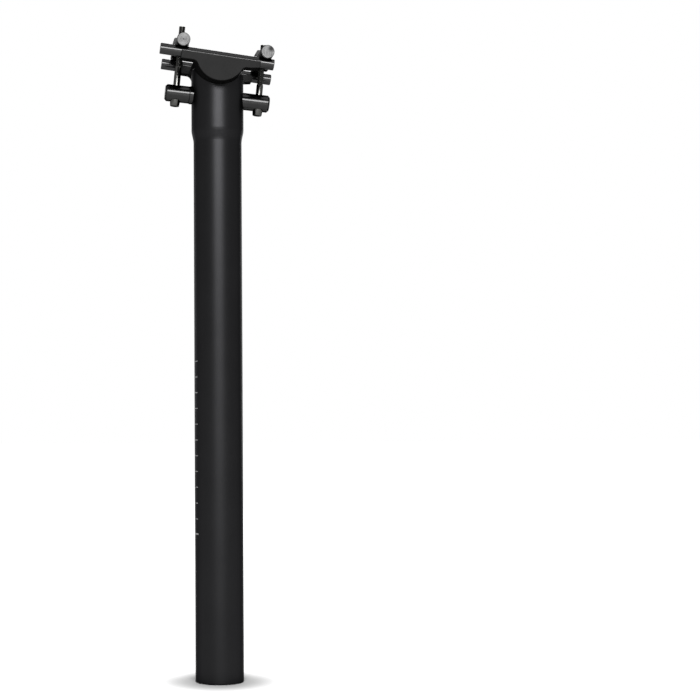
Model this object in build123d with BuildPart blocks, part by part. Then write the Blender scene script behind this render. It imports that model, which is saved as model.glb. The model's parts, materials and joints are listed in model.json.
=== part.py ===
"""Two-bolt bicycle seatpost: a swelled one-piece post, a tilting rail cradle and the two
bolts and cross rods that clamp a pair of rails into it.

Millimetres, +Z up the post and +X towards the front of the bicycle. The origin is the centre
of the post's lower end, and the rails cross the post's axis at clamp_height.
"""

from build123d import *
from math import asin, cos, degrees, radians, sin
import os

# Post and head
post_diameter = 30.9
post_wall = 2.2
post_end_round = 0.6
head_swell = 1.3
clamp_height = 395.0
head_top_drop = 5.7
head_length = 44.0
shoulder_length = 6.0
shoulder_blend = 9.0
head_edge = 0.4

# Anchor bar, which carries the two bolts through the head
anchor_tilt = 5.8
anchor_web = 2.4
anchor_floor = 2.3
barrel_diameter = 11.0
barrel_chamfer = 1.2
barrel_end_margin = 7.0
spigot_diameter = 7.0
spigot_engagement = 4.5
spigot_chamfer = 0.6
collar_diameter = 11.6
collar_thickness = 2.7
collar_chamfer = 0.25
spot_face_depth = 1.2
spot_face_margin = 0.4

# Bolts
front_bolt_offset = 26.6
rear_bolt_offset = -27.0
shank_diameter = 4.3
thread_diameter = 4.0
thread_length = 26.0
thread_runout = 0.3
tip_chamfer = 0.6
bolt_head_diameter = 7.0
bolt_head_end_diameter = 5.8
bolt_head_height = 4.2
bolt_head_edge = 0.35
socket_width = 3.0
socket_depth = 2.2
pocket_depth = 1.5
front_stick_out = 4.9
rear_stick_out = 9.0

# Rail bars and the cradle
rail_tilt = 7.5
rail_diameter = 7.0
rail_length = 72.7
rail_edge = 0.3
near_rail_shift = -2.3
far_rail_shift = 1.5
cradle_radius = 15.7
cradle_half_length = 25.2
channel_wall = 0.8
channel_floor = 1.3
channel_lip = 0.1
cradle_fillet = 3.5
front_tip_taper = 1.0
front_tip_gap = 3.5
bridge_drop = 1.0
cradle_edge = 0.3

# Cross rods
cross_rod_diameter = 8.5
cross_rod_overhang = 1.5
cross_rod_edge = 0.35
cross_rod_sink = 1.15
block_width = 9.8
block_height = 10.5
block_length = 13.5
block_corner = 1.3

# Clearances between pieces, on the radius or on one side
seat_clearance = 0.3
side_clearance = 0.75
groove_clearance = 0.2
notch_clearance = 0.4
spigot_clearance = 0.1
shank_clearance = 0.25
thread_clearance = 0.15
pocket_clearance = 0.4
bolt_head_clearance = 0.1

# Sizes that follow from these
post_radius = post_diameter / 2
bore_radius = post_radius - post_wall
head_radius = post_radius + head_swell
rail_radius = rail_diameter / 2
groove_radius = rail_radius + groove_clearance
seat_radius = cradle_radius + seat_clearance
barrel_radius = barrel_diameter / 2
collar_radius = collar_diameter / 2
spigot_radius = spigot_diameter / 2
spigot_hole_radius = spigot_radius + spigot_clearance
cross_rod_radius = cross_rod_diameter / 2
shank_radius = shank_diameter / 2
thread_radius = thread_diameter / 2
bolt_head_radius = bolt_head_diameter / 2
bolt_head_end_radius = bolt_head_end_diameter / 2
shank_hole_radius = shank_radius + shank_clearance
thread_hole_radius = thread_radius + thread_clearance
pocket_radius = bolt_head_radius + pocket_clearance

channel_inner_y = head_radius + side_clearance
rail_y = channel_inner_y + channel_wall + groove_radius
channel_outer_y = rail_y + groove_radius + channel_wall
channel_width = channel_outer_y - channel_inner_y
cross_rod_half_length = channel_outer_y + cross_rod_overhang

anchor_drop = seat_radius + anchor_web + spigot_hole_radius
bore_top = clamp_height - anchor_drop - spigot_hole_radius - anchor_floor
front_barrel_end = front_bolt_offset + barrel_end_margin
rear_barrel_end = rear_bolt_offset - barrel_end_margin
spot_face_x = head_radius - spot_face_depth
rear_barrel_start = spot_face_x + collar_thickness
spigot_end = rear_barrel_start + spigot_engagement
pocket_level = pocket_depth - barrel_radius
bolt_head_top = pocket_level - bolt_head_clearance
bolt_head_bottom = bolt_head_top - bolt_head_height
cross_rod_rise = rail_radius + cross_rod_radius - cross_rod_sink
channel_bottom = -(groove_radius + channel_floor)


def forward(tilt):
    return Vector(cos(radians(tilt)), 0, -sin(radians(tilt)))


def upward(tilt):
    return Vector(sin(radians(tilt)), 0, cos(radians(tilt)))


def side_plane(origin, tilt):
    """Seen from the near side: x runs forward along a tilted part and y runs up across it."""
    return Plane(origin=origin, x_dir=forward(tilt), z_dir=(0, -1, 0))


def end_plane(origin, tilt):
    """Square to a tilted part: x runs to the far side, y runs up, and the normal forward."""
    return Plane(origin=origin, x_dir=(0, 1, 0), z_dir=forward(tilt))


rail_centre = Vector(0, 0, clamp_height)
anchor_centre = Vector(0, 0, clamp_height - anchor_drop)
rail_up = upward(rail_tilt)
bolt_up = upward(anchor_tilt)
rail_side = side_plane(rail_centre, rail_tilt)
rail_end = end_plane(rail_centre, rail_tilt)
anchor_side = side_plane(anchor_centre, anchor_tilt)
anchor_end = end_plane(anchor_centre, anchor_tilt)
anchor_axis = Axis(anchor_centre, forward(anchor_tilt))


def bolt_base(offset):
    """The point where a bolt crosses the anchor bar's axis."""
    return anchor_centre + forward(anchor_tilt) * offset


def bolt_plane(offset, height):
    """Square to a bolt, at a height above the anchor bar's axis."""
    origin = bolt_base(offset) + bolt_up * height
    return Plane(origin=origin, x_dir=forward(anchor_tilt), z_dir=bolt_up)


def cross_rod_level(offset):
    """How far up its bolt a cross rod's centre lies, from the anchor bar's axis."""
    gap = rail_centre + rail_up * cross_rod_rise - bolt_base(offset)
    return gap.dot(rail_up) / bolt_up.dot(rail_up)


os.makedirs("parts", exist_ok=True)

# Post: one piece, a tube that swells into a solid round head with a hollow seat across its top
with BuildPart() as post:
    taper_bottom = clamp_height - head_length - shoulder_length
    taper_top = clamp_height - head_length
    with BuildSketch(Plane.XZ):
        with BuildLine():
            Polyline(
                (0, 0),
                (post_radius, 0),
                (post_radius, taper_bottom),
                (head_radius, taper_top),
                (head_radius, clamp_height),
                (0, clamp_height),
                close=True,
            )
        make_face()
    revolve(axis=Axis.Z)
    rings = post.edges().filter_by(GeomType.CIRCLE)
    fillet(rings.filter_by_position(Axis.Z, taper_bottom, taper_top), shoulder_blend)
    # The bore is blind and ends in a round dome under the anchor bar
    with BuildSketch(Plane.XZ):
        with BuildLine():
            dome = CenterArc((0, bore_top - bore_radius), bore_radius, 0, 90)
            Polyline(dome @ 1, (0, 0), (bore_radius, 0), dome @ 0)
        make_face()
    revolve(axis=Axis.Z, mode=Mode.SUBTRACT)
    rings = post.edges().filter_by(GeomType.CIRCLE)
    fillet(rings.filter_by_position(Axis.Z, 0, 0), post_end_round)
    head_top = Plane(
        origin=(0, 0, clamp_height - head_top_drop),
        x_dir=forward(anchor_tilt),
        z_dir=bolt_up,
    )
    split(bisect_by=head_top, keep=Keep.BOTTOM)
    chamfer(post.faces().sort_by(Axis.Z)[-1].edges(), head_edge)
    with BuildSketch(rail_side):
        Circle(seat_radius)
    extrude(amount=2 * head_radius, both=True, mode=Mode.SUBTRACT)
    # The cross hole for the anchor bar, with a flat spot face on each side of the head
    with BuildSketch(anchor_end):
        Circle(spigot_hole_radius)
    extrude(amount=2 * head_radius, both=True, mode=Mode.SUBTRACT)
    with BuildSketch(anchor_end.offset(spot_face_x)):
        Circle(barrel_radius + spot_face_margin)
    extrude(amount=head_radius, mode=Mode.SUBTRACT)
    with BuildSketch(anchor_end.offset(-spot_face_x)):
        Circle(collar_radius + spot_face_margin)
    extrude(amount=-head_radius, mode=Mode.SUBTRACT)
post.part.label = "post"
export_step(post.part, "parts/post.step")

# Front barrel: the front half of the anchor bar, with the spigot that runs through the head
with BuildPart() as front_barrel:
    with BuildSketch(anchor_side):
        with BuildLine():
            Polyline(
                (-spigot_end, 0),
                (-spigot_end, spigot_radius - spigot_chamfer),
                (-spigot_end + spigot_chamfer, spigot_radius),
                (spot_face_x, spigot_radius),
                (spot_face_x, barrel_radius),
                (front_barrel_end - barrel_chamfer, barrel_radius),
                (front_barrel_end, barrel_radius - barrel_chamfer),
                (front_barrel_end, 0),
                close=True,
            )
        make_face()
    revolve(axis=anchor_axis)
    with BuildSketch(bolt_plane(front_bolt_offset, 0)):
        Circle(shank_hole_radius)
    extrude(amount=barrel_diameter, both=True, mode=Mode.SUBTRACT)
    with BuildSketch(bolt_plane(front_bolt_offset, pocket_level)):
        Circle(pocket_radius)
    extrude(amount=-barrel_diameter, mode=Mode.SUBTRACT)
front_barrel.part.label = "front_barrel"
export_step(front_barrel.part, "parts/front_barrel.step")

# Rear barrel: screwed onto the spigot's end
with BuildPart() as rear_barrel:
    tapped_end = spigot_end + spigot_clearance + spigot_chamfer
    with BuildSketch(anchor_side):
        with BuildLine():
            Polyline(
                (rear_barrel_end, 0),
                (rear_barrel_end, barrel_radius - barrel_chamfer),
                (rear_barrel_end + barrel_chamfer, barrel_radius),
                (-rear_barrel_start - collar_chamfer, barrel_radius),
                (-rear_barrel_start, barrel_radius - collar_chamfer),
                (-rear_barrel_start, spigot_hole_radius),
                (-tapped_end, spigot_hole_radius),
                (-tapped_end, 0),
                close=True,
            )
        make_face()
    revolve(axis=anchor_axis)
    with BuildSketch(bolt_plane(rear_bolt_offset, 0)):
        Circle(shank_hole_radius)
    extrude(amount=barrel_diameter, both=True, mode=Mode.SUBTRACT)
    with BuildSketch(bolt_plane(rear_bolt_offset, pocket_level)):
        Circle(pocket_radius)
    extrude(amount=-barrel_diameter, mode=Mode.SUBTRACT)
rear_barrel.part.label = "rear_barrel"
export_step(rear_barrel.part, "parts/rear_barrel.step")

# Barrel collar: the spacer ring between the head and the rear barrel
with BuildPart() as barrel_collar:
    with BuildSketch(anchor_end.offset(-spot_face_x)):
        Circle(collar_radius)
        Circle(spigot_hole_radius, mode=Mode.SUBTRACT)
    extrude(amount=-collar_thickness)
    rings = barrel_collar.edges().filter_by(GeomType.CIRCLE).sort_by(SortBy.RADIUS)
    chamfer(rings[-2:], collar_chamfer)
barrel_collar.part.label = "barrel_collar"
export_step(barrel_collar.part, "parts/barrel_collar.step")


def make_bolt(offset, stick_out):
    """A long socket-head bolt, its head tapering downwards, standing on its barrel's pocket."""
    tip = cross_rod_level(offset) + block_height / 2 + stick_out
    thread_start = tip - thread_length
    with BuildPart() as bolt:
        with BuildSketch(side_plane(bolt_base(offset), anchor_tilt)):
            with BuildLine():
                Polyline(
                    (0, bolt_head_bottom),
                    (bolt_head_end_radius, bolt_head_bottom),
                    (bolt_head_radius, bolt_head_top),
                    (shank_radius, bolt_head_top),
                    (shank_radius, thread_start - thread_runout),
                    (thread_radius, thread_start),
                    (thread_radius, tip - tip_chamfer),
                    (thread_radius - tip_chamfer, tip),
                    (0, tip),
                    close=True,
                )
            make_face()
        revolve(axis=Axis(bolt_base(offset), bolt_up))
        rings = bolt.edges().filter_by(GeomType.CIRCLE).sort_by(SortBy.RADIUS)
        fillet(rings[-2:], bolt_head_edge)
        with BuildSketch(bolt_plane(offset, bolt_head_bottom)):
            RegularPolygon(socket_width / 2, 6, major_radius=False)
        extrude(amount=socket_depth, mode=Mode.SUBTRACT)
    return bolt


front_bolt = make_bolt(front_bolt_offset, front_stick_out)
front_bolt.part.label = "front_bolt"
export_step(front_bolt.part, "parts/front_bolt.step")

rear_bolt = make_bolt(rear_bolt_offset, rear_stick_out)
rear_bolt.part.label = "rear_bolt"
export_step(rear_bolt.part, "parts/rear_bolt.step")


def make_cross_rod(offset):
    """A round rod across both rails, notched over each, with a square threaded block in its middle."""
    centre = bolt_base(offset) + bolt_up * cross_rod_level(offset)
    rod_side = side_plane(centre, anchor_tilt)
    with BuildPart() as cross_rod:
        with BuildSketch(rod_side):
            Circle(cross_rod_radius)
        extrude(amount=cross_rod_half_length, both=True)
        ends = cross_rod.faces().filter_by(Axis.Y)
        chamfer(ends.edges(), cross_rod_edge)
        with BuildSketch(rod_side):
            RectangleRounded(block_width, block_height, block_corner)
        extrude(amount=block_length / 2, both=True)
        with BuildSketch(bolt_plane(offset, cross_rod_level(offset))):
            Circle(thread_hole_radius)
        extrude(amount=block_height, both=True, mode=Mode.SUBTRACT)
        with BuildSketch(rail_end):
            with Locations((-rail_y, 0), (rail_y, 0)):
                Circle(rail_radius + notch_clearance)
        extrude(amount=rail_length, both=True, mode=Mode.SUBTRACT)
    return cross_rod


front_cross_rod = make_cross_rod(front_bolt_offset)
front_cross_rod.part.label = "front_cross_rod"
export_step(front_cross_rod.part, "parts/front_cross_rod.step")

rear_cross_rod = make_cross_rod(rear_bolt_offset)
rear_cross_rod.part.label = "rear_cross_rod"
export_step(rear_cross_rod.part, "parts/rear_cross_rod.step")

# Cradle: a channel on each side for a rail, joined under the rails by a half-round bridge
with BuildPart() as cradle:
    corner_angle = degrees(asin(-channel_bottom / cradle_radius))
    with BuildSketch(
        rail_side.offset(channel_inner_y),
        rail_side.offset(-channel_outer_y),
    ) as channel_profile:
        with BuildLine():
            underside = CenterArc(
                (0, 0), cradle_radius, 180 + corner_angle, 180 - 2 * corner_angle
            )
            Polyline(
                underside @ 0,
                (-cradle_half_length, channel_bottom),
                (-cradle_half_length, channel_lip),
                (cradle_half_length, channel_lip),
                (cradle_half_length, channel_bottom + front_tip_taper),
                (cradle_radius + front_tip_gap, channel_bottom),
                underside @ 1,
            )
        make_face()
        corners = channel_profile.vertices()
        fillet(corners.filter_by_position(Axis.X, -cradle_radius, cradle_radius), cradle_fillet)
    extrude(amount=channel_width)
    sides = cradle.faces().filter_by(Axis.Y).sort_by(Axis.Y)
    chamfer(sides[0].edges() + sides[-1].edges(), cradle_edge)
    with BuildSketch(rail_side):
        Circle(cradle_radius)
        with Locations((0, -bridge_drop)):
            Rectangle(
                2 * cradle_radius,
                2 * cradle_radius,
                align=(Align.CENTER, Align.MIN),
                mode=Mode.SUBTRACT,
            )
    extrude(amount=channel_inner_y, both=True)
    # The grooves the rails lie in, open at the top
    with BuildSketch(rail_end):
        with Locations((-rail_y, 0), (rail_y, 0)):
            Circle(groove_radius)
            Rectangle(2 * groove_radius, cradle_radius, align=(Align.CENTER, Align.MIN))
    extrude(amount=2 * cradle_half_length, both=True, mode=Mode.SUBTRACT)
cradle.part.label = "cradle"
export_step(cradle.part, "parts/cradle.step")


def make_rail_bar(across, shift):
    """A round bar standing in for a saddle rail, its middle shifted forward along the rail."""
    with BuildPart() as rail_bar:
        with BuildSketch(rail_end.offset(shift - rail_length / 2)):
            with Locations((across, 0)):
                Circle(rail_radius)
        extrude(amount=rail_length)
        ends = rail_bar.faces().filter_by(GeomType.PLANE)
        chamfer(ends.edges(), rail_edge)
    return rail_bar


near_rail_bar = make_rail_bar(-rail_y, near_rail_shift)
near_rail_bar.part.label = "near_rail_bar"
export_step(near_rail_bar.part, "parts/near_rail_bar.step")

far_rail_bar = make_rail_bar(rail_y, far_rail_shift)
far_rail_bar.part.label = "far_rail_bar"
export_step(far_rail_bar.part, "parts/far_rail_bar.step")
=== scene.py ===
# %% [markdown]
# # Dressing a two-bolt seatpost
# The solids come from the CAD frame and stay where they are. This script gives them their
# finishes, cuts real threads on the two bolts, marks the insertion scale on the tube, and sets
# up the studio and the camera. Lengths are metres, and mm turns millimetres into them.

# %% Load the frame
import json
from math import cos, pi, radians, sin

import bmesh
import bpy
from mathutils import Matrix, Vector


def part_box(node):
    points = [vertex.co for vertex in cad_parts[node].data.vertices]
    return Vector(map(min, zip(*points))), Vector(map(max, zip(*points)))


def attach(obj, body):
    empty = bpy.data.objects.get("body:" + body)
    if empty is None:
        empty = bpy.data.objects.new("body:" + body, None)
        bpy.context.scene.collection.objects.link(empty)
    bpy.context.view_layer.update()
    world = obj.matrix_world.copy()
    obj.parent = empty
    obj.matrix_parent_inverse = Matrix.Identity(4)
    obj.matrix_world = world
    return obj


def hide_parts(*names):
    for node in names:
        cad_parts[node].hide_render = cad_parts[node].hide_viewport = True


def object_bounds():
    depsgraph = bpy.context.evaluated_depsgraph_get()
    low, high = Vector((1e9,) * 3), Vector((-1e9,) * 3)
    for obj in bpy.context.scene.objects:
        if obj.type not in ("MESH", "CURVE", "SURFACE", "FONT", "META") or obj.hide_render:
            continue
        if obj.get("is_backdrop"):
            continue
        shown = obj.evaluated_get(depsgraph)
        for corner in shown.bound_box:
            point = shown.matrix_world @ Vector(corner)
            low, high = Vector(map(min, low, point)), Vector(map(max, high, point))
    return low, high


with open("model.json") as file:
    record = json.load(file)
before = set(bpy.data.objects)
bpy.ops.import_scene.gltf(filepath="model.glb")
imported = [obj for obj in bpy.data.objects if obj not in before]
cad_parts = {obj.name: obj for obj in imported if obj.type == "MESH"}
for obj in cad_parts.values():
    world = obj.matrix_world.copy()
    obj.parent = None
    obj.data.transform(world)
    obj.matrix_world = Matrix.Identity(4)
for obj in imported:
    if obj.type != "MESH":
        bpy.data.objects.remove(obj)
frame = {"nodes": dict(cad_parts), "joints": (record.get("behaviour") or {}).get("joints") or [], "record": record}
cad_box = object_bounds()
nodes = frame["nodes"]
mm = 0.001
print("nodes:", ", ".join(sorted(nodes)))

# %% [markdown]
# ## Where things are
# The frame says where each bolt turns, how far each piece reaches and how thick the tube is, so
# these aren't typed in again. A bolt's axis is its joint's axis. The threads, the faced ends and
# the scale are placed from these few values.

# %% Places read from the frame
joints = {joint["name"]: joint for joint in frame["joints"]}
bolt_up = Vector(joints["front_bolt_turn"]["axis"]).normalized()
bolt_base = {
    "front_bolt": Vector(joints["front_bolt_turn"]["pos_m"]),
    "rear_bolt": Vector(joints["rear_bolt_turn"]["pos_m"]),
}
insert_mount = next(m for m in frame["record"]["mounts"] if m["name"] == "seat_tube_insert")
tube_radius = insert_mount["dims"]["r_mm"] * mm


def reach_along(node, origin, direction):
    """How far a node reaches back and forward of a point, along a direction."""
    along = [(v.co - origin).dot(direction) for v in nodes[node].data.vertices]
    return min(along), max(along)


for name, base in bolt_base.items():
    low, high = reach_along(name, base, bolt_up)
    print(f"{name}: from {low / mm:.1f} to {high / mm:.1f} mm along its axis")
print(f"tube radius: {tube_radius / mm:.2f} mm")

# %% [markdown]
# ## Colours and a node helper
# Colours are written as the sRGB hex values that a paint chart gives, and one function turns
# them to the linear values that the renderer works in. A second small function adds a shader
# node with its settings and its links in one go, which keeps each finish short to read. It
# takes an input by its label, or by its number where two inputs share a label: i0 is the first.
# A Mix node set to colours has its factor at i0, its two colours at i6 and i7, and its result
# at output 2.

# %% Helpers for materials
mix_colours = {"data_type": "RGBA"}


def linear(hex_colour):
    """An sRGB hex colour as the linear values that a shader takes, fully opaque."""
    values = [int(hex_colour[i : i + 2], 16) / 255 for i in (1, 3, 5)]
    toned = [c / 12.92 if c <= 0.04045 else ((c + 0.055) / 1.055) ** 2.4 for c in values]
    return (*toned, 1.0)


def feed(tree, node, **inputs):
    """Gives a node's inputs their values, or links them from other nodes' sockets."""
    for key, value in inputs.items():
        numbered = key[1:].isdigit()
        socket = node.inputs[int(key[1:])] if numbered else node.inputs[key.replace("_", " ")]
        if isinstance(value, bpy.types.NodeSocket):
            tree.links.new(value, socket)
        else:
            socket.default_value = value
    return node


def add(tree, kind, settings=None, **inputs):
    """Adds a node: settings are its own values, inputs are values or sockets to link from."""
    node = tree.nodes.new(kind)
    for key, value in (settings or {}).items():
        setattr(node, key, value)
    return feed(tree, node, **inputs)


def start_material(name):
    """An empty material with a Principled shader on its output, and its object coordinates."""
    material = bpy.data.materials.new(name)
    material.use_nodes = True
    tree = material.node_tree
    tree.nodes.clear()
    shader = add(tree, "ShaderNodeBsdfPrincipled")
    add(tree, "ShaderNodeOutputMaterial", Surface=shader.outputs[0])
    place = add(tree, "ShaderNodeTexCoord").outputs["Object"]
    return material, tree, shader, place


def paint(node, material):
    """Puts one material on every face of a CAD node."""
    nodes[node].data.materials.clear()
    nodes[node].data.materials.append(material)


print("anodised black in linear light:", [round(c, 4) for c in linear("#1f1f21")[:3]])

# %% [markdown]
# ## The camera
# A long lens stands a metre away, a little to the rear of square on, below the clamp and tipped
# slightly up. The object fills the left of the frame, so the lens is shifted instead of the
# camera being turned, which keeps the tube upright. Its height, turn and lens were fitted to the
# corners of the object that the photograph shows.

# %% Camera
scene = bpy.context.scene
camera_turn = radians(5.854)
camera_pitch = radians(2.172)
camera_roll = radians(-0.243)
camera_away = 1047.8 * mm
camera_height = 171.1 * mm

camera_data = bpy.data.cameras.new("camera")
camera_data.lens = 84.21
camera_data.sensor_width = 36.0
camera_data.shift_x = 0.188
camera_data.clip_start = 50 * mm
camera = bpy.data.objects.new("camera", camera_data)
scene.collection.objects.link(camera)
aim = Matrix.Rotation(-camera_turn, 4, "Z") @ Matrix.Rotation(pi / 2 + camera_pitch, 4, "X")
aim = aim @ Matrix.Rotation(camera_roll, 4, "Z")
spot = Vector((-camera_away * sin(camera_turn), -camera_away * cos(camera_turn), camera_height))
camera.matrix_world = Matrix.Translation(spot) @ aim
scene.camera = camera
print("camera at", [round(c, 3) for c in spot])

# %% [markdown]
# ## Blasted and milled black anodising
# The post and the cradle are aluminium, anodised black. The post is blasted with fine beads
# first. The cradle is milled, and its surface is coarser. Under the dye both are still metal, so
# the shader is metallic with a very dark colour. The rough surface spreads its highlight, into a
# soft band on the post and almost away on the cradle. A bump from fine noise gives the grain, and
# a second, slow noise varies the dye a little, as it does over a real part. The specular tint is
# what a metal reflects at a glancing angle, and darkening it keeps the outline from turning pale.

# %% The post's finish
post_black, tree, shader, place = start_material("blasted_black_anodised_aluminium")
# Satin black: a soft grey band of light along the tube, with dark sides.
dye_drift = 30 * mm
dye = add(tree, "ShaderNodeTexNoise", Vector=place, Scale=1 / dye_drift, Detail=2.0)
tone = add(
    tree, "ShaderNodeMix", mix_colours,
    i0=dye.outputs[0], i6=linear("#1d1d1e"), i7=linear("#232324"),
)
# Bead marks are near 0.1 mm across, drawn at 0.3 mm so that they show.
bead_mark = 0.3 * mm
bead_depth = 0.02 * mm
beads = add(
    tree, "ShaderNodeTexNoise", Vector=place, Scale=1 / bead_mark, Detail=3.0, Roughness=0.6,
)
dull = add(tree, "ShaderNodeMapRange", Value=beads.outputs[0], To_Min=0.33, To_Max=0.41)
dents = add(
    tree, "ShaderNodeBump", Height=beads.outputs[0], Strength=0.35, Distance=bead_depth,
)
feed(
    tree, shader, Base_Color=tone.outputs[2], Metallic=1.0, Roughness=dull.outputs[0],
    Normal=dents.outputs[0], Specular_Tint=linear("#b2b2b2"),
)
paint("post", post_black)
print("the post:", post_black.name)

# %% The cradle's finish
cradle_black, tree, shader, place = start_material("milled_black_anodised_aluminium")
# Matt and flat, a plain dark grey with no band of light of its own.
dye_drift = 12 * mm
dye = add(tree, "ShaderNodeTexNoise", Vector=place, Scale=1 / dye_drift, Detail=2.0)
tone = add(
    tree, "ShaderNodeMix", mix_colours,
    i0=dye.outputs[0], i6=linear("#181818"), i7=linear("#1e1e1e"),
)
# A fine mill's marks are 0.1 to 0.2 mm apart, drawn at 0.4 mm so that they show.
mill_mark = 0.4 * mm
mill_depth = 0.03 * mm
milled = add(
    tree, "ShaderNodeTexNoise", Vector=place, Scale=1 / mill_mark, Detail=4.0, Roughness=0.65,
)
dull = add(tree, "ShaderNodeMapRange", Value=milled.outputs[0], To_Min=0.5, To_Max=0.66)
dents = add(
    tree, "ShaderNodeBump", Height=milled.outputs[0], Strength=0.5, Distance=mill_depth,
)
feed(
    tree, shader, Base_Color=tone.outputs[2], Metallic=1.0, Roughness=dull.outputs[0],
    Normal=dents.outputs[0], Specular_Tint=linear("#6c6c6c"),
)
paint("cradle", cradle_black)
print("the cradle:", cradle_black.name)

# %% [markdown]
# ## Polished black anodising
# The two halves of the anchor bar and its spacer ring are turned and polished before they are
# dyed. Their light is a crisp white line on a deep black. A low roughness gives that line, and
# a faint noise in it keeps the metal from looking like glass.

# %% The anchor bar's finish
anchor_black, tree, shader, place = start_material("polished_black_anodised_aluminium")
# Deep black with narrow, sharp white reflections.
polish_drift = 3 * mm
haze = add(tree, "ShaderNodeTexNoise", Vector=place, Scale=1 / polish_drift, Detail=3.0)
dull = add(tree, "ShaderNodeMapRange", Value=haze.outputs[0], To_Min=0.12, To_Max=0.17)
tone = add(
    tree, "ShaderNodeMix", mix_colours,
    i0=haze.outputs[0], i6=linear("#272727"), i7=linear("#2f2f2f"),
)
# Polishing leaves marks finer than 0.1 mm, drawn as an even 0.2 mm grain so that they show.
polish_mark = 0.2 * mm
polish_depth = 0.01 * mm
grain = add(tree, "ShaderNodeTexNoise", Vector=place, Scale=1 / polish_mark, Detail=2.0)
marks = add(
    tree, "ShaderNodeBump", Height=grain.outputs[0], Strength=0.1, Distance=polish_depth,
)
feed(
    tree, shader, Base_Color=tone.outputs[2], Metallic=1.0, Roughness=dull.outputs[0],
    Normal=marks.outputs[0], Specular_Tint=linear("#8a8a8a"),
)
for node in ("front_barrel", "rear_barrel", "barrel_collar"):
    paint(node, anchor_black)
print("polished:", anchor_black.name)

# %% [markdown]
# ## The cross rods
# Each cross rod is turned from square bar: its ends are round, and its middle stays a black
# square block. One material serves a rod, and reads the distance from the rod's own axis for
# the lathe's rings and the distance from the middle for the block. The rings stretch a highlight
# into two opposite wedges, which an anisotropic shader does when its tangent runs round the
# centre. The rear rod's end keeps its rings and a small centre pip, painted as a dark spot of
# shade for its dimple. The front rod was faced with a file instead, so its end shows slanting
# strokes, and a dark patch painted towards its upper right.

# %% What differs between the two rods
block_half = 6.85 * mm
ring_pitch = 0.35 * mm
stroke_pitch = 0.35 * mm
stroke_length = 5 * mm
stroke_turn = radians(38)
cut_depth = 0.02 * mm
# In millimetres: the dark spot's middle from the rod's axis, and two radii from that middle.
rod_ends = {
    "front_cross_rod": {
        "filed": 1.0,
        "stretch": 0.25,
        "spot": (2.2, 0.0, 1.9),
        "dark_to": 0.8,
        "clear_from": 2.6,
    },
    "rear_cross_rod": {
        "filed": 0.0,
        "stretch": 0.75,
        "spot": (0.0, 0.0, 0.0),
        "dark_to": 0.35,
        "clear_from": 0.65,
    },
}


def box_middle(node):
    """The middle of a node's box at rest."""
    low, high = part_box(node)
    return (low + high) / 2


for node in rod_ends:
    print(f"{node}: middle at", [round(c / mm, 1) for c in box_middle(node)], "mm")

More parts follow.
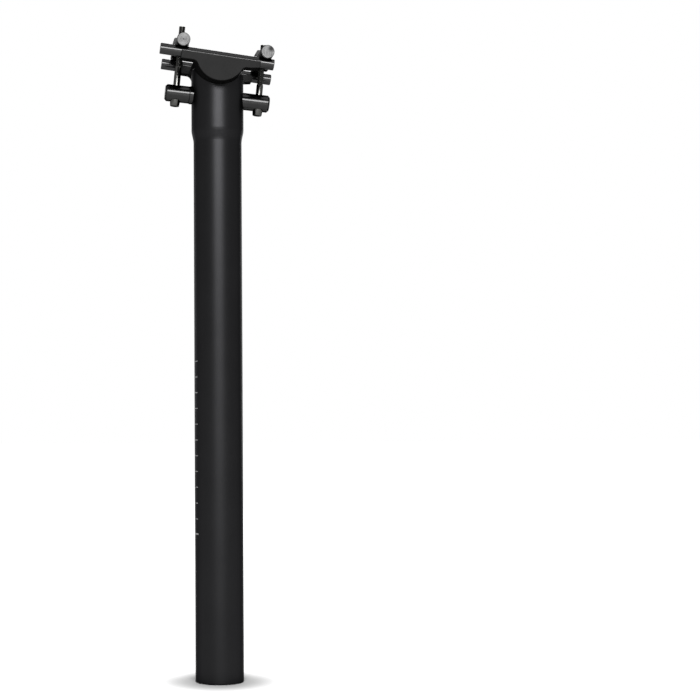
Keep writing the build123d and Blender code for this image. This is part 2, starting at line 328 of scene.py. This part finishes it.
# %% Turned rods with black middles
for node, end in rod_ends.items():
    material, tree, shader, place = start_material(f"turned_aluminium_{node}")
    # Dark turned metal, grey where it is cut and black on the block.
    centred = add(
        tree, "ShaderNodeVectorMath", {"operation": "SUBTRACT"}, i0=place, i1=box_middle(node),
    )
    split = add(tree, "ShaderNodeSeparateXYZ", Vector=centred.outputs[0])
    flat = add(tree, "ShaderNodeCombineXYZ", X=split.outputs[0], Z=split.outputs[2])
    radius = add(tree, "ShaderNodeVectorMath", {"operation": "LENGTH"}, i0=flat.outputs[0])
    backward = add(
        tree, "ShaderNodeMath", {"operation": "MULTIPLY"}, i0=split.outputs[2], i1=-1.0,
    )
    around = add(tree, "ShaderNodeCombineXYZ", X=backward.outputs[0], Z=split.outputs[0])
    away = add(tree, "ShaderNodeMath", {"operation": "ABSOLUTE"}, i0=split.outputs[1])
    on_block = add(
        tree, "ShaderNodeMath", {"operation": "LESS_THAN"}, i0=away.outputs[0], i1=block_half,
    )
    # The lathe's feed is 0.1 mm a turn, drawn at 0.35 mm so that the rings show.
    feed_marks = add(
        tree, "ShaderNodeMath", {"operation": "MULTIPLY"},
        i0=radius.outputs["Value"], i1=1 / ring_pitch,
    )
    rings = add(
        tree, "ShaderNodeTexNoise", {"noise_dimensions": "1D"},
        W=feed_marks.outputs[0], Scale=1.0, Detail=2.0,
    )
    # File strokes are 0.2 mm apart, drawn at 0.35 mm. The real ones slant and these run upright,
    # because a Mapping node scales before it turns. Its turn only picks another part of the noise.
    stretched = add(
        tree, "ShaderNodeMapping", Vector=centred.outputs[0],
        Rotation=(0.0, stroke_turn, 0.0), Scale=(1 / stroke_pitch, 1.0, 1 / stroke_length),
    )
    strokes = add(
        tree, "ShaderNodeTexNoise", Vector=stretched.outputs[0], Scale=1.0, Detail=3.0,
    )
    cut = add(
        tree, "ShaderNodeMix", {"data_type": "FLOAT"},
        i0=end["filed"], i2=rings.outputs[0], i3=strokes.outputs[0],
    )
    sharp_cut = add(
        tree, "ShaderNodeMapRange", Value=cut.outputs[0], From_Min=0.3, From_Max=0.7,
    )
    tone = add(
        tree, "ShaderNodeMix", mix_colours,
        i0=sharp_cut.outputs[0], i6=linear("#222222"), i7=linear("#4a4a4a"),
    )
    # The dark spot is painted shade for the centre pip's dimple at the rear, and a dark patch at the front.
    from_spot = add(
        tree, "ShaderNodeVectorMath", {"operation": "DISTANCE"},
        i0=flat.outputs[0], i1=Vector(end["spot"]) * mm,
    )
    clear = add(
        tree, "ShaderNodeMapRange", Value=from_spot.outputs["Value"],
        From_Min=end["dark_to"] * mm, From_Max=end["clear_from"] * mm,
    )
    face = add(
        tree, "ShaderNodeMix", mix_colours,
        i0=clear.outputs[0], i6=linear("#161616"), i7=tone.outputs[2],
    )
    body = add(
        tree, "ShaderNodeMix", mix_colours,
        i0=on_block.outputs[0], i6=face.outputs[2], i7=linear("#1e1e1e"),
    )
    dull = add(tree, "ShaderNodeMapRange", Value=cut.outputs[0], To_Min=0.3, To_Max=0.42)
    grooves = add(
        tree, "ShaderNodeBump", Height=cut.outputs[0], Strength=0.4, Distance=cut_depth,
    )
    feed(
        tree, shader, Base_Color=body.outputs[2], Metallic=1.0, Roughness=dull.outputs[0],
        Normal=grooves.outputs[0], Anisotropic=end["stretch"], Tangent=around.outputs[0],
        Specular_Tint=linear("#6c6c6c"),
    )
    paint(node, material)
    print(f"{node}: {material.name}, {len(tree.nodes)} nodes")

# %% [markdown]
# ## The rail bars
# A saddle's rails are drawn steel rod. Drawing leaves fine scratches along the bar, and a dark
# oxide keeps the steel grey rather than bright. The noise is stretched along X, which is level,
# so the scratches lie 7.5 degrees off the bars' slope. A Mapping node scales before it turns, so
# its turn doesn't slope them, and only picks another part of the noise.

# %% Drawn steel
scratch_turn = radians(7.5)
scratch_length = 14 * mm
scratch_width = 0.35 * mm
scratch_depth = 0.02 * mm
rail_steel, tree, shader, place = start_material("drawn_dark_steel")
# Grey steel with a long bright line along its top and hair scratches beside it. The scratches
# are near 0.1 mm wide, drawn at 0.35 mm so that they show.
along = add(
    tree, "ShaderNodeMapping", Vector=place, Rotation=(0.0, scratch_turn, 0.0),
    Scale=(1 / scratch_length, 1 / scratch_width, 1 / scratch_width),
)
scratch = add(
    tree, "ShaderNodeTexNoise", Vector=along.outputs[0], Scale=1.0, Detail=4.0, Roughness=0.6,
)
tone = add(
    tree, "ShaderNodeMix", mix_colours,
    i0=scratch.outputs[0], i6=linear("#282828"), i7=linear("#353535"),
)
dull = add(tree, "ShaderNodeMapRange", Value=scratch.outputs[0], To_Min=0.1, To_Max=0.2)
lines = add(
    tree, "ShaderNodeBump", Height=scratch.outputs[0], Strength=0.3, Distance=scratch_depth,
)
feed(
    tree, shader, Base_Color=tone.outputs[2], Metallic=1.0, Roughness=dull.outputs[0],
    Normal=lines.outputs[0], Specular_Tint=linear("#b4b4b4"),
)
for node in ("near_rail_bar", "far_rail_bar"):
    paint(node, rail_steel)
print("drawn:", rail_steel.name)

# %% [markdown]
# ## The bolts' blanks
# A bolt is turned first and threaded after, and here it is made in the same order. The blank is a
# list of rings up the axis: the floor and wall of the hexagon socket, the tapered head, the shank
# and the part to be threaded, with ten rings to each turn of thread. A ring is a circle or a
# hexagon, on the same number of points, so that rings join by plain quads and both ends close.

# %% A bolt's sizes
bolt_sides = 36
thread_pitch = 0.7 * mm
thread_length = 26.0 * mm
thread_top_radius = 2.0 * mm
rings_per_turn = 10
tip_step_in = 0.35 * mm
shank_radius = 2.15 * mm
shank_runout = 0.6 * mm
socket_apothem = 1.5 * mm
socket_mouth_radius = 1.95 * mm
socket_mouth_depth = 0.15 * mm
head_low = -8.3 * mm
head_high = -4.1 * mm
socket_floor = head_low + 2.2 * mm
# The head's taper, from its end to the edge under the barrel.
head_end_radius = 2.7 * mm
taper_low_radius = 2.93 * mm
taper_high_radius = 3.35 * mm
head_rim_radius = 3.4 * mm
head_top_radius = 3.3 * mm
head_end_chamfer = 0.25 * mm
taper_stops_below = 0.3 * mm
rim_below = 0.12 * mm
print(f"head {(head_high - head_low) / mm:.1f} mm high, thread {thread_length / mm:.0f} mm long")

# %% Turn a blank


def blank_rings(tip):
    """The rings of one blank as radius, height and whether it is a hexagon."""
    start = tip - thread_length
    rings = [
        (socket_apothem, socket_floor, True),
        (socket_apothem, head_low + socket_mouth_depth, True),
        (socket_mouth_radius, head_low, False),
        (head_end_radius, head_low, False),
        (taper_low_radius, head_low + head_end_chamfer, False),
        (taper_high_radius, head_high - taper_stops_below, False),
        (head_rim_radius, head_high - rim_below, False),
        (head_top_radius, head_high, False),
        (shank_radius, head_high, False),
        (shank_radius, start - shank_runout, False),
    ]
    count = int(thread_length / thread_pitch * rings_per_turn)
    rings += [(thread_top_radius, start + i * thread_length / count, False) for i in range(count)]
    rings += [(thread_top_radius - tip_step_in, tip, False)]
    return rings


def turned_blank(name, rings):
    """A closed turned mesh with its axis on Z."""
    shape = bmesh.new()
    loops = []
    for radius, height, hexagonal in rings:
        loop = []
        for i in range(bolt_sides):
            turn = 2 * pi * i / bolt_sides
            # A hexagon reaches further where the turn is further from the middle of its side.
            from_side = (turn + pi / 6) % (pi / 3) - pi / 6
            reach = radius / cos(from_side) if hexagonal else radius
            loop.append(shape.verts.new((reach * cos(turn), reach * sin(turn), height)))
        loops.append(loop)
    for low, high in zip(loops, loops[1:]):
        for i in range(bolt_sides):
            j = (i + 1) % bolt_sides
            shape.faces.new((low[i], low[j], high[j], high[i]))
    shape.faces.new(reversed(loops[0]))
    shape.faces.new(loops[-1])
    mesh = bpy.data.meshes.new(name)
    shape.to_mesh(mesh)
    shape.free()
    return mesh


front_tip = reach_along("front_bolt", bolt_base["front_bolt"], bolt_up)[1]
print("rings in the front blank:", len(blank_rings(front_tip)))

# %% [markdown]
# ## Blackened steel
# Bolts of this kind are alloy steel with a black oxide and a film of oil. The oxide is thin, and
# the steel shows paler where it has rubbed, so the colour follows a noise. The roughness stays
# low enough for a bright line down the middle.

# %% The bolts' finish
rubbed_patch = 1.6 * mm
pit_depth = 0.02 * mm
bolt_steel, tree, shader, place = start_material("black_oxide_alloy_steel")
# Dark neutral grey with a bright line, and slightly worn patches.
worn = add(
    tree, "ShaderNodeTexNoise", Vector=place, Scale=1 / rubbed_patch, Detail=4.0, Roughness=0.6,
)
tone = add(
    tree, "ShaderNodeMix", mix_colours,
    i0=worn.outputs[0], i6=linear("#3a3a39"), i7=linear("#4c4c4a"),
)
dull = add(tree, "ShaderNodeMapRange", Value=worn.outputs[0], To_Min=0.13, To_Max=0.21)
pits = add(tree, "ShaderNodeBump", Height=worn.outputs[0], Strength=0.15, Distance=pit_depth)
feed(
    tree, shader, Base_Color=tone.outputs[2], Metallic=1.0, Roughness=dull.outputs[0],
    Normal=pits.outputs[0], Specular_Tint=linear("#707070"),
)
print("oxide:", bolt_steel.name)

# %% [markdown]
# ## The thread
# A thread follows a rule: its depth at a point depends only on the height and on the turn round
# the axis. Geometry Nodes can say that in a few sums. The tree takes the blank, works out how far
# each point is through its turn of the thread, and moves it towards the axis by that much. The
# sizes are named inputs, so the same tree cuts both bolts.

# %% The thread-cutting tree
# From the middle of the groove, 0, to the middle of the crest, 1: the flat root ends at the
# first value and the flat crest starts at the second.
root_to = 0.12
crest_from = 0.74

cutter = bpy.data.node_groups.new("cut_thread", "GeometryNodeTree")
cutter.interface.new_socket("Blank", in_out="INPUT", socket_type="NodeSocketGeometry")
for label in ("Pitch", "Depth", "Thread Start", "Thread End"):
    cutter.interface.new_socket(label, in_out="INPUT", socket_type="NodeSocketFloat")
cutter.interface.new_socket("Finish", in_out="INPUT", socket_type="NodeSocketMaterial")
cutter.interface.new_socket("Bolt", in_out="OUTPUT", socket_type="NodeSocketGeometry")

given = cutter.nodes.new("NodeGroupInput").outputs
place = add(cutter, "GeometryNodeInputPosition").outputs[0]
split = add(cutter, "ShaderNodeSeparateXYZ", Vector=place)
across = add(cutter, "ShaderNodeCombineXYZ", X=split.outputs[0], Y=split.outputs[1])
outward = add(cutter, "ShaderNodeVectorMath", {"operation": "NORMALIZE"}, i0=across.outputs[0])
turn = add(
    cutter, "ShaderNodeMath", {"operation": "ARCTAN2"}, i0=split.outputs[1], i1=split.outputs[0],
)
turns = add(cutter, "ShaderNodeMath", {"operation": "DIVIDE"}, i0=turn.outputs[0], i1=2 * pi)
climb = add(
    cutter, "ShaderNodeMath", {"operation": "DIVIDE"}, i0=split.outputs[2], i1=given["Pitch"],
)
phase = add(
    cutter, "ShaderNodeMath", {"operation": "SUBTRACT"}, i0=climb.outputs[0], i1=turns.outputs[0],
)
part = add(cutter, "ShaderNodeMath", {"operation": "FRACT"}, i0=phase.outputs[0])
swing = add(
    cutter, "ShaderNodeMath", {"operation": "MULTIPLY_ADD"}, i0=part.outputs[0], i1=2.0, i2=-1.0,
)
flank = add(cutter, "ShaderNodeMath", {"operation": "ABSOLUTE"}, i0=swing.outputs[0])
groove = add(
    cutter, "ShaderNodeMapRange", Value=flank.outputs[0],
    From_Min=root_to, From_Max=crest_from, To_Min=1.0, To_Max=0.0,
)
after = add(
    cutter, "ShaderNodeMath", {"operation": "GREATER_THAN"},
    i0=split.outputs[2], i1=given["Thread Start"],
)
before = add(
    cutter, "ShaderNodeMath", {"operation": "LESS_THAN"},
    i0=split.outputs[2], i1=given["Thread End"],
)
between = add(
    cutter, "ShaderNodeMath", {"operation": "MULTIPLY"}, i0=after.outputs[0], i1=before.outputs[0],
)
cut = add(
    cutter, "ShaderNodeMath", {"operation": "MULTIPLY"},
    i0=groove.outputs[0], i1=between.outputs[0],
)
deep = add(
    cutter, "ShaderNodeMath", {"operation": "MULTIPLY"}, i0=cut.outputs[0], i1=given["Depth"],
)
inward = add(cutter, "ShaderNodeMath", {"operation": "MULTIPLY"}, i0=deep.outputs[0], i1=-1.0)
push = add(
    cutter, "ShaderNodeVectorMath", {"operation": "SCALE"},
    i0=outward.outputs[0], Scale=inward.outputs[0],
)
moved = add(
    cutter, "GeometryNodeSetPosition", Geometry=given["Blank"], Offset=push.outputs[0],
)
real = add(cutter, "GeometryNodeRealizeInstances", Geometry=moved.outputs[0])
done = add(
    cutter, "GeometryNodeSetMaterial", Geometry=real.outputs[0], Material=given["Finish"],
)
add(cutter, "NodeGroupOutput", i0=done.outputs[0])
print("thread tree:", len(cutter.nodes), "nodes")

# %% [markdown]
# ## Run a tree and keep the mesh
# A modifier's inputs are set by their identifiers. The evaluated object then gives a plain mesh,
# which is put where it belongs, and neither the modifier nor the tree is left on the piece.

# %% A helper that bakes a tree into a piece


def grown(name, tree, start_mesh, values, into=Matrix.Identity(4)):
    """Runs a geometry tree on a start mesh, and returns the result as a plain piece."""
    seed = bpy.data.objects.new(name + "_start", start_mesh)
    scene.collection.objects.link(seed)
    modifier = seed.modifiers.new("grow", "NODES")
    modifier.node_group = tree
    for item in tree.interface.items_tree:
        if item.in_out == "INPUT" and item.name in values:
            modifier[item.identifier] = values[item.name]
    bpy.context.view_layer.update()
    evaluated = seed.evaluated_get(bpy.context.evaluated_depsgraph_get())
    mesh = bpy.data.meshes.new_from_object(evaluated)
    bpy.data.objects.remove(seed)
    mesh.transform(into)
    mesh.name = name
    piece = bpy.data.objects.new(name, mesh)
    scene.collection.objects.link(piece)
    return piece


def soften(mesh, angle):
    """Smooth shading with a crease wherever two faces meet at more than an angle."""
    mesh.shade_smooth()
    mesh.set_sharp_from_angle(angle=angle)


print("trees are baked by grown()")

# %% Cut both bolts
thread_depth = 0.4 * mm
# The cut starts just past the thread's first ring, so that ring stays round.
first_ring_kept = 0.01 * mm
thread_stops_below = 0.35 * mm
crease_angle = radians(50)
upright = Vector((0, 0, 1)).rotation_difference(bolt_up).to_matrix().to_4x4()
for node, base in bolt_base.items():
    tip = reach_along(node, base, bolt_up)[1]
    values = {
        "Pitch": thread_pitch,
        "Depth": thread_depth,
        "Thread Start": tip - thread_length + first_ring_kept,
        "Thread End": tip - thread_stops_below,
        "Finish": bolt_steel,
    }
    blank = turned_blank(node + "_blank", blank_rings(tip))
    bolt = grown("threaded_" + node, cutter, blank, values, Matrix.Translation(base) @ upright)
    soften(bolt.data, crease_angle)
    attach(bolt, node)
    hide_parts(node)
    print(f"{bolt.name}: {len(bolt.data.polygons)} faces, tip {tip / mm:.1f} mm up its axis")

# %% [markdown]
# ## The insertion scale
# The rear of the tube carries a scale of short marks, 10 mm apart, with a longer and bolder one
# below them, at the lowest safe depth. They are laser marks, so they are thin, pale and follow
# the curve of the tube. The tree puts one small bar on each point of a line, makes them real,
# and then wraps them: a bar's sideways distance becomes a turn round the tube. Half of a bar's
# thickness stands out of the tube, and half is sunk in it.

# %% The scale's tree
bar_points_along = 17

scaler = bpy.data.node_groups.new("wrap_scale", "GeometryNodeTree")
scaler.interface.new_socket("Start", in_out="INPUT", socket_type="NodeSocketGeometry")
for label in ("Tube Radius", "Thickness", "Length", "Width", "First Height", "Pitch"):
    scaler.interface.new_socket(label, in_out="INPUT", socket_type="NodeSocketFloat")
scaler.interface.new_socket("Count", in_out="INPUT", socket_type="NodeSocketInt")
scaler.interface.new_socket("Finish", in_out="INPUT", socket_type="NodeSocketMaterial")
scaler.interface.new_socket("Marks", in_out="OUTPUT", socket_type="NodeSocketGeometry")

given = scaler.nodes.new("NodeGroupInput").outputs
lowest = add(scaler, "ShaderNodeCombineXYZ", Z=given["First Height"])
step = add(scaler, "ShaderNodeCombineXYZ", Z=given["Pitch"])
stations = add(
    scaler, "GeometryNodeMeshLine",
    Count=given["Count"], Start_Location=lowest.outputs[0], Offset=step.outputs[0],
)
bar_size = add(
    scaler, "ShaderNodeCombineXYZ", X=given["Length"], Y=given["Thickness"], Z=given["Width"],
)
bar = add(
    scaler, "GeometryNodeMeshCube",
    Size=bar_size.outputs[0], Vertices_X=bar_points_along, Vertices_Y=2, Vertices_Z=2,
)
bars = add(
    scaler, "GeometryNodeInstanceOnPoints", Points=stations.outputs[0], Instance=bar.outputs[0],
)
real = add(scaler, "GeometryNodeRealizeInstances", Geometry=bars.outputs[0])
place = add(scaler, "GeometryNodeInputPosition").outputs[0]
split = add(scaler, "ShaderNodeSeparateXYZ", Vector=place)
turn = add(
    scaler, "ShaderNodeMath", {"operation": "DIVIDE"},
    i0=split.outputs[0], i1=given["Tube Radius"],
)
reach = add(
    scaler, "ShaderNodeMath", {"operation": "ADD"}, i0=split.outputs[1], i1=given["Tube Radius"],
)
cosine = add(scaler, "ShaderNodeMath", {"operation": "COSINE"}, i0=turn.outputs[0])
sine = add(scaler, "ShaderNodeMath", {"operation": "SINE"}, i0=turn.outputs[0])
back = add(
    scaler, "ShaderNodeMath", {"operation": "MULTIPLY"}, i0=cosine.outputs[0], i1=reach.outputs[0],
)
rear = add(scaler, "ShaderNodeMath", {"operation": "MULTIPLY"}, i0=back.outputs[0], i1=-1.0)
side = add(
    scaler, "ShaderNodeMath", {"operation": "MULTIPLY"}, i0=sine.outputs[0], i1=reach.outputs[0],
)
wrapped = add(
    scaler, "ShaderNodeCombineXYZ", X=rear.outputs[0], Y=side.outputs[0], Z=split.outputs[2],
)
curved = add(
    scaler, "GeometryNodeSetPosition", Geometry=real.outputs[0], Position=wrapped.outputs[0],
)
done = add(
    scaler, "GeometryNodeSetMaterial", Geometry=curved.outputs[0], Material=given["Finish"],
)
add(scaler, "NodeGroupOutput", i0=done.outputs[0])
print("scale tree:", len(scaler.nodes), "nodes")

# %% The marks' finish
laser_fleck = 0.3 * mm
mark_grey, tree, shader, place = start_material("laser_marked_grey")
# Pale matt grey, slightly broken where the laser's lines don't quite meet. The lines are near
# 0.05 mm apart, drawn as 0.3 mm flecks so that the break shows.
burn = add(tree, "ShaderNodeTexNoise", Vector=place, Scale=1 / laser_fleck, Detail=2.0)
tone = add(
    tree, "ShaderNodeMix", mix_colours,
    i0=burn.outputs[0], i6=linear("#787878"), i7=linear("#969696"),
)
dull = add(tree, "ShaderNodeMapRange", Value=burn.outputs[0], To_Min=0.6, To_Max=0.8)
feed(tree, shader, Base_Color=tone.outputs[2], Roughness=dull.outputs[0])
print("marks:", mark_grey.name)

# %% Print the scale
mark_pitch = 10.0 * mm
mark_thickness = 0.06 * mm
# Lengths here are in millimetres.
scale_runs = {
    "insertion_marks": {"Length": 13.0, "Width": 0.45, "First Height": 103.5, "Count": 11},
    "lowest_depth_mark": {"Length": 14.0, "Width": 1.0, "First Height": 94.0, "Count": 1},
}
for name, sizes in scale_runs.items():
    values = {label: size if label == "Count" else size * mm for label, size in sizes.items()}
    values["Tube Radius"] = tube_radius
    values["Thickness"] = mark_thickness
    values["Pitch"] = mark_pitch
    values["Finish"] = mark_grey
    marks = grown(name, scaler, bpy.data.meshes.new(name + "_start"), values)
    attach(marks, "post")
    print(f"{name}: {len(marks.data.polygons)} faces on a tube of {tube_radius / mm:.2f} mm radius")

# %% [markdown]
# ## The studio
# One wide strip light hangs above the camera and gives every upright surface its band of light,
# and a dim one below it reaches the undersides. A panel overhead, two weak ones behind at the
# head's height and a strip higher up behind keep the other views readable. The white
# surroundings are shown to the camera and to reflections only, so the lamps and a faint even
# glow light the object.

# %% Lights
head_middle = Vector((0, 0, 360 * mm))
# Each lamp's turn round the post and its lift in degrees, its distance from the head, its width
# and its height in metres, and its power in watts.
lamps = {
    "front_strip": (2.5, 18, 1.8, 1.15, 0.52, 42),
    "front_low": (2.5, -5, 1.8, 1.2, 0.6, 3.5),
    "overhead": (0, 75, 1.6, 1.2, 1.2, 4),
    "left_fill": (145, 0, 2.0, 0.6, 0.6, 6),
    "right_fill": (-145, 0, 2.0, 0.6, 0.6, 4),
    "back_strip": (185, 30, 1.8, 1.0, 0.4, 8),
}


def panel(name, turn, lift, distance, width, height, watts):
    """A rectangular lamp that faces the head, placed by its turn round the post and its lift."""
    data = bpy.data.lights.new(name, "AREA")
    data.shape = "RECTANGLE"
    data.size = width
    data.size_y = height
    data.energy = watts
    lamp = bpy.data.objects.new(name, data)
    scene.collection.objects.link(lamp)
    out = Vector((-sin(turn) * cos(lift), -cos(turn) * cos(lift), sin(lift)))
    facing = out.to_track_quat("Z", "Y").to_matrix().to_4x4()
    lamp.matrix_world = Matrix.Translation(head_middle + out * distance) @ facing


for name, (turn, lift, distance, width, height, watts) in lamps.items():
    panel(name, radians(turn), radians(lift), distance, width, height, watts)
print("lamps:", ", ".join(lamps))

# %% Surroundings
ambient_strength = 0.12


def shown_rays(tree):
    """1 for the rays that see the white studio: camera, glossy and transmission rays."""
    rays = add(tree, "ShaderNodeLightPath").outputs
    mirrored = add(
        tree, "ShaderNodeMath", {"operation": "MAXIMUM"},
        i0=rays["Is Camera Ray"], i1=rays["Is Glossy Ray"],
    )
    shown = add(
        tree, "ShaderNodeMath", {"operation": "MAXIMUM"},
        i0=mirrored.outputs[0], i1=rays["Is Transmission Ray"],
    )
    return shown.outputs[0]


world = bpy.data.worlds.new("studio")
scene.world = world
world.use_nodes = True
tree = world.node_tree
tree.nodes.clear()
shown = shown_rays(tree)
ambient = add(
    tree, "ShaderNodeBackground", Color=linear("#ffffff"), Strength=ambient_strength,
)
backdrop = add(tree, "ShaderNodeBackground", Color=linear("#ffffff"), Strength=1.0)
sky = add(tree, "ShaderNodeMixShader", i0=shown, i1=ambient.outputs[0], i2=backdrop.outputs[0])
add(tree, "ShaderNodeOutputWorld", Surface=sky.outputs[0])
scene.view_settings.view_transform = "Standard"
print("world:", world.name, "view transform:", scene.view_settings.view_transform)

# %% [markdown]
# ## The floor
# To the camera the floor glows white, apart from round the tube's foot. There the glow fades
# out, which paints a soft ring of shade round the foot, and lets the object's own soft shadow show.

# %% Floor
floor_half = 8.0
paper_drift = 25 * mm
# Out to the first reach from the tube's axis the glow is gone, and from the second it is full: the ring between is
# painted shade.
painted_shade_darkest_to = 15.5 * mm
painted_shade_gone_from = 55 * mm

floor_mesh = bpy.data.meshes.new("floor")
corners = [
    (-floor_half, -floor_half, 0),
    (floor_half, -floor_half, 0),
    (floor_half, floor_half, 0),
    (-floor_half, floor_half, 0),
]
floor_mesh.from_pydata(corners, [], [(0, 1, 2, 3)])
floor = bpy.data.objects.new("floor", floor_mesh)
scene.collection.objects.link(floor)
floor_white = bpy.data.materials.new("white_studio_floor")
floor_white.use_nodes = True
tree = floor_white.node_tree
tree.nodes.clear()
shown = shown_rays(tree)
spot_on_floor = add(tree, "ShaderNodeTexCoord").outputs["Object"]
paper = add(tree, "ShaderNodeTexNoise", Vector=spot_on_floor, Scale=1 / paper_drift)
paper_tone = add(
    tree, "ShaderNodeMix", mix_colours,
    i0=paper.outputs[0], i6=linear("#b8b8b8"), i7=linear("#c0c0c0"),
)
plain = add(tree, "ShaderNodeBsdfDiffuse", Color=paper_tone.outputs[2])
lit = add(tree, "ShaderNodeBsdfDiffuse", Color=linear("#d2d2d2"))
reach = add(tree, "ShaderNodeVectorMath", {"operation": "LENGTH"}, i0=spot_on_floor)
# The glow grows with the distance from the tube's axis, so the floor is painted darker round the foot.
glow_past_painted_shade = add(
    tree, "ShaderNodeMapRange", {"interpolation_type": "SMOOTHSTEP"},
    Value=reach.outputs["Value"], From_Min=painted_shade_darkest_to, From_Max=painted_shade_gone_from,
)
glow = add(tree, "ShaderNodeEmission", Color=linear("#ffffff"), Strength=glow_past_painted_shade.outputs[0])
bright = add(tree, "ShaderNodeAddShader", i0=lit.outputs[0], i1=glow.outputs[0])
cover = add(tree, "ShaderNodeMixShader", i0=shown, i1=plain.outputs[0], i2=bright.outputs[0])
add(tree, "ShaderNodeOutputMaterial", Surface=cover.outputs[0])
floor_mesh.materials.append(floor_white)
floor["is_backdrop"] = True
print("floor:", floor.name)

# %% Finish
low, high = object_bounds()
sizes = {"cad": [list(corner) for corner in cad_box], "dressed": [list(low), list(high)]}
print("dressed size in mm:", [round(side / mm, 1) for side in high - low])
